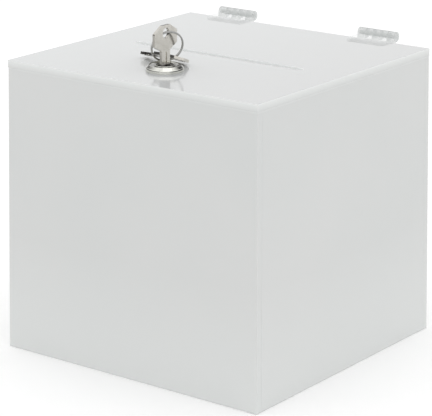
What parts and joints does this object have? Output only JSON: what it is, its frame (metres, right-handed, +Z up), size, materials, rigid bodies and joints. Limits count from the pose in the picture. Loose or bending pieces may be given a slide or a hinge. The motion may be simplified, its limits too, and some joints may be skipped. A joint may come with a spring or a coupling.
{
  "type": "donation box",
  "caption": "White opal acrylic cube donation box with a slotted hinged lid, clear acrylic butt hinges and a chrome cam lock with its key, key ring and spare key.",
  "frame": {"origin": "centre of the underside of the box", "axes": "+X to the box's right seen from the front, +Y to the hinged back, +Z up"},
  "size_m": [0.2036, 0.2103, 0.2252],
  "materials": {
    "opal_acrylic": "gloss opal white, slightly translucent",
    "clear_acrylic": "clear, polished",
    "lock_chrome": "polished chrome plate",
    "key_nickel": "satin nickel plate",
    "ring_steel": "drawn steel wire, bright",
    "steel": "zinc plated steel",
    "brass": "stamped brass"
  },
  "bodies": {
    "box": {"front_panel": "opal_acrylic", "back_panel": "opal_acrylic", "left_panel": "opal_acrylic", "right_panel": "opal_acrylic", "bottom_panel": "opal_acrylic", "catch_bar": "opal_acrylic", "left_hinge_body_leaf": "clear_acrylic", "left_hinge_pin": "clear_acrylic", "right_hinge_body_leaf": "clear_acrylic", "right_hinge_pin": "clear_acrylic"},
    "lid": {"lid_panel": "opal_acrylic", "left_hinge_lid_leaf": "clear_acrylic", "right_hinge_lid_leaf": "clear_acrylic", "lock_housing": "lock_chrome", "lock_washer": "steel", "lock_nut": "lock_chrome"},
    "plug": {"lock_plug": "lock_chrome", "wafer_springs": "steel", "stop_washer": "steel", "cam": "steel", "cam_washer": "steel", "cam_screw": "steel"},
    "wafers": {"lock_wafers": "brass"},
    "key": {"key": "key_nickel"},
    "ring": {"key_ring": "ring_steel"},
    "spare_key": {"spare_key": "key_nickel"}
  },
  "joints": [
    {"name": "lid_hinge", "type": "hinge", "parent": "box", "child": "lid", "pos_m": [0, 0.105, 0.1985], "axis": [-1, 0, 0], "range_deg": [0, 245]},
    {"name": "plug_turn", "type": "hinge", "parent": "lid", "child": "plug", "pos_m": [0, -0.0625, 0.195], "axis": [0, 0, -1], "range_deg": [0, 90]},
    {"name": "key_withdraw", "type": "slide", "parent": "plug", "child": "key", "axis": [0, 0, 1], "range_m": [0, 0.018]},
    {"name": "wafer_slide", "type": "slide", "parent": "plug", "child": "wafers", "axis": [0, 1, 0], "range_m": [0, 0.0004], "deforming": ["wafer_springs"]},
    {"name": "ring_swing", "type": "hinge", "parent": "key", "child": "ring", "pos_m": [0, -0.0627, 0.22], "axis": [1, 0, 0], "range_deg": [0, 60]},
    {"name": "spare_key_swing", "type": "hinge", "parent": "ring", "child": "spare_key", "pos_m": [-0.0003, -0.0517, 0.2018], "axis": [0, 0, -1], "range_deg": [0, 12]}
  ],
  "couplings": [
    {"joint": "wafer_slide", "follows": "key_withdraw", "ratio": 0.0222}
  ]
}
